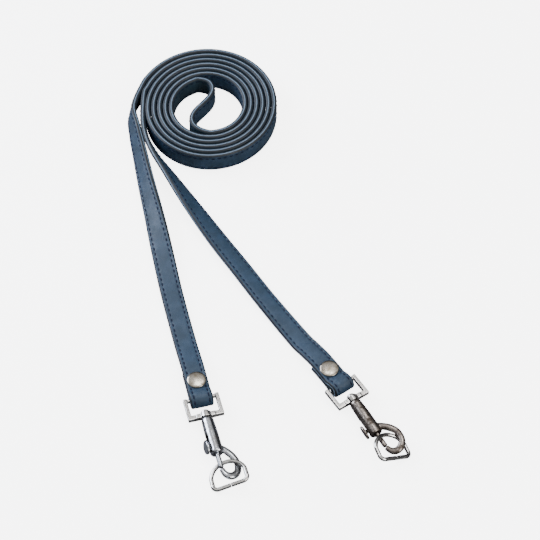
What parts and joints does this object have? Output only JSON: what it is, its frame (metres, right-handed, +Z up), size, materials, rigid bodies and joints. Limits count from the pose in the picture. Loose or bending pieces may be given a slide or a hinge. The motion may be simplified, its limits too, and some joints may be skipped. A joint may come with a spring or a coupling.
{
  "type": "training leash",
  "caption": "Flat stitched leather training leash wound in a coil, each end looped and riveted to a swivel bolt snap that holds a D ring.",
  "frame": {"origin": "on the ground, below the centre of the bounding box", "axes": "+Y runs from the snaps towards the coil along the ground, +X is to the right when the coil is beyond the snaps, +Z is up"},
  "size_m": [0.1521, 0.2888, 0.0124],
  "materials": {
    "leather_face": "smooth navy grain, painted dark edges",
    "leather_lining": "navy, a little duller than the face",
    "rivet_nickel": "satin nickel",
    "plated_nickel": "bright nickel plating",
    "bright_snap": "bright nickel plating, darker in the hollows",
    "aged_snap": "dull nickel with a brown patina",
    "spring_steel": "plain drawn wire"
  },
  "bodies": {
    "strap": {"strap_face": "leather_face", "strap_lining": "leather_lining", "left_rivet_cap": "rivet_nickel", "left_rivet_post": "rivet_nickel", "right_rivet_cap": "rivet_nickel", "right_rivet_post": "rivet_nickel"},
    "left_eye": {"left_swivel_eye": "plated_nickel"},
    "left_snap": {"left_snap_body": "bright_snap", "left_swivel_pin": "plated_nickel", "left_bolt_spring": "spring_steel"},
    "left_bolt": {"left_bolt": "bright_snap", "left_thumb_knob": "bright_snap"},
    "left_ring": {"left_d_ring": "plated_nickel"},
    "right_eye": {"right_swivel_eye": "plated_nickel"},
    "right_snap": {"right_snap_body": "aged_snap", "right_swivel_pin": "plated_nickel", "right_bolt_spring": "spring_steel"},
    "right_bolt": {"right_bolt": "aged_snap", "right_thumb_knob": "aged_snap"},
    "right_ring": {"right_d_ring": "plated_nickel"}
  },
  "joints": [
    {"name": "left_eye_hinge", "type": "hinge", "parent": "strap", "child": "left_eye", "pos_m": [-0.0304, -0.0911, 0.0046], "axis": [0.9659, 0.2588, 0], "range_deg": [-95, 95]},
    {"name": "left_swivel", "type": "hinge", "parent": "left_eye", "child": "left_snap", "pos_m": [-0.02522, -0.11042, 0.00481], "axis": [0.2588, -0.9659, 0.0105], "continuous": true},
    {"name": "left_bolt_slide", "type": "slide", "parent": "left_snap", "child": "left_bolt", "axis": [0.2588, -0.9659, 0.0105], "range_m": [-0.006, 0], "stiffness_N_per_m": 250, "springref_m": 0.004, "deforming": ["left_bolt_spring"]},
    {"name": "left_ring_hinge", "type": "hinge", "parent": "left_snap", "child": "left_ring", "pos_m": [-0.01147, -0.12809, 0.00177], "axis": [0.1917, -0.9808, 0.0361], "range_deg": [0, 70]},
    {"name": "right_eye_hinge", "type": "hinge", "parent": "strap", "child": "right_eye", "pos_m": [0.0414, -0.0826, 0.0046], "axis": [0.829, 0.5592, 0], "range_deg": [-95, 95]},
    {"name": "right_swivel", "type": "hinge", "parent": "right_eye", "child": "right_snap", "pos_m": [0.05203, -0.09952, 0.00429], "axis": [0.4999, -0.8659, -0.0157], "continuous": true},
    {"name": "right_bolt_slide", "type": "slide", "parent": "right_snap", "child": "right_bolt", "axis": [0.4999, -0.8659, -0.0157], "range_m": [-0.006, 0], "stiffness_N_per_m": 250, "springref_m": 0.004, "deforming": ["right_bolt_spring"]},
    {"name": "right_ring_hinge", "type": "hinge", "parent": "right_snap", "child": "right_ring", "pos_m": [0.07027, -0.11281, 0.00566], "axis": [0.436, -0.8995, -0.029], "range_deg": [-45, 0]}
  ]
}
